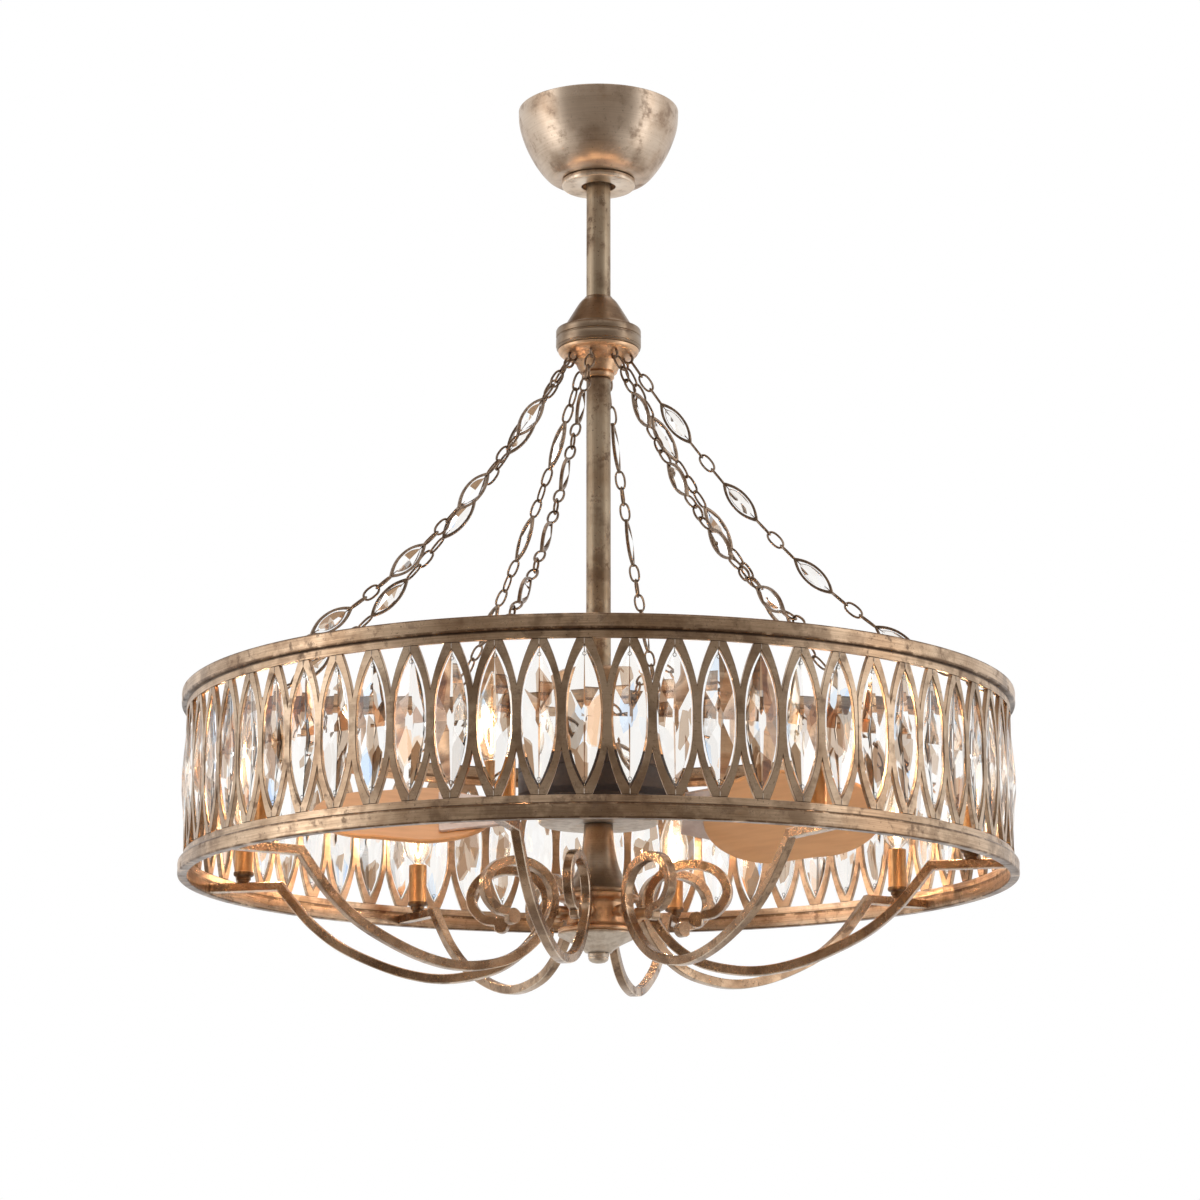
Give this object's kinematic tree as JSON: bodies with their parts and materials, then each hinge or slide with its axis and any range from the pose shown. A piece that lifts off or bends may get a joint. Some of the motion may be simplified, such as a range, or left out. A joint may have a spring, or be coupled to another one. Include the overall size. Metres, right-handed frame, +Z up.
{
  "type": "ceiling fan",
  "caption": "Ceiling fan inside a round chandelier drum of pointed crystal ovals, hung on a rod with slack crystal chains, with scrolled candle arms below.",
  "frame": {"origin": "on the ceiling, in the middle of the hanger bracket's top face", "axes": "+Z up; arm_1 points along -Y, and the arms count round towards +X"},
  "size_m": [0.89, 0.89, 0.9711],
  "materials": {
    "zinc_steel": "zinc plated",
    "black_rubber": "matt",
    "antique_leaf": "brushed antique silver and gold leaf",
    "bronze_chain": "dark bronze",
    "clear_bulb": "clear",
    "dark_motor": "satin",
    "pale_champagne": "satin",
    "tan_blade": "satin lacquer"
  },
  "bodies": {
    "mount": {"hanger_bracket": "zinc_steel", "canopy": "antique_leaf", "canopy_ring": "antique_leaf"},
    "seat": {"ball_seat": "black_rubber"},
    "fixture": {"hanger_ball": "zinc_steel", "upper_rod": "antique_leaf", "hub_cap": "antique_leaf", "chain_hub": "antique_leaf", "lower_rod": "antique_leaf", "chain_1": "bronze_chain", "chain_2": "bronze_chain", "chain_3": "bronze_chain", "chain_4": "bronze_chain", "chain_5": "bronze_chain", "chain_6": "bronze_chain", "chain_7": "bronze_chain", "chain_8": "bronze_chain", "top_ring": "antique_leaf", "bottom_ring": "antique_leaf", "lattice_1": "antique_leaf", "lattice_2": "antique_leaf", "lattice_3": "antique_leaf", "lattice_4": "antique_leaf", "arm_1": "antique_leaf", "arm_2": "antique_leaf", "arm_3": "antique_leaf", "arm_4": "antique_leaf", "arm_5": "antique_leaf", "arm_6": "antique_leaf", "arm_7": "antique_leaf", "arm_8": "antique_leaf", "candle_1": "antique_leaf", "candle_2": "antique_leaf", "candle_3": "antique_leaf", "candle_4": "antique_leaf", "candle_5": "antique_leaf", "candle_6": "antique_leaf", "candle_7": "antique_leaf", "candle_8": "antique_leaf", "bulb_1": "clear_bulb", "bulb_2": "clear_bulb", "bulb_3": "clear_bulb", "bulb_4": "clear_bulb", "bulb_5": "clear_bulb", "bulb_6": "clear_bulb", "bulb_7": "clear_bulb", "bulb_8": "clear_bulb", "motor_cover": "antique_leaf", "motor_housing": "dark_motor", "motor_shaft": "zinc_steel", "fitter_plate": "pale_champagne", "center_bell": "antique_leaf", "arm_hub": "antique_leaf", "finial_bowl": "pale_champagne", "finial": "pale_champagne"},
    "rotor": {"flywheel": "dark_motor", "blade_1": "tan_blade", "blade_2": "tan_blade"}
  },
  "joints": [
    {"name": "swing_x", "type": "hinge", "parent": "mount", "child": "seat", "pos_m": [0, 0, -0.034], "axis": [1, 0, 0], "range_deg": [-3, 3]},
    {"name": "swing_y", "type": "hinge", "parent": "seat", "child": "fixture", "pos_m": [0, 0, -0.034], "axis": [0, 1, 0], "range_deg": [-3, 3]},
    {"name": "fan_spin", "type": "hinge", "parent": "fixture", "child": "rotor", "pos_m": [0, 0, -0.79], "axis": [0, 0, 1], "continuous": true}
  ]
}
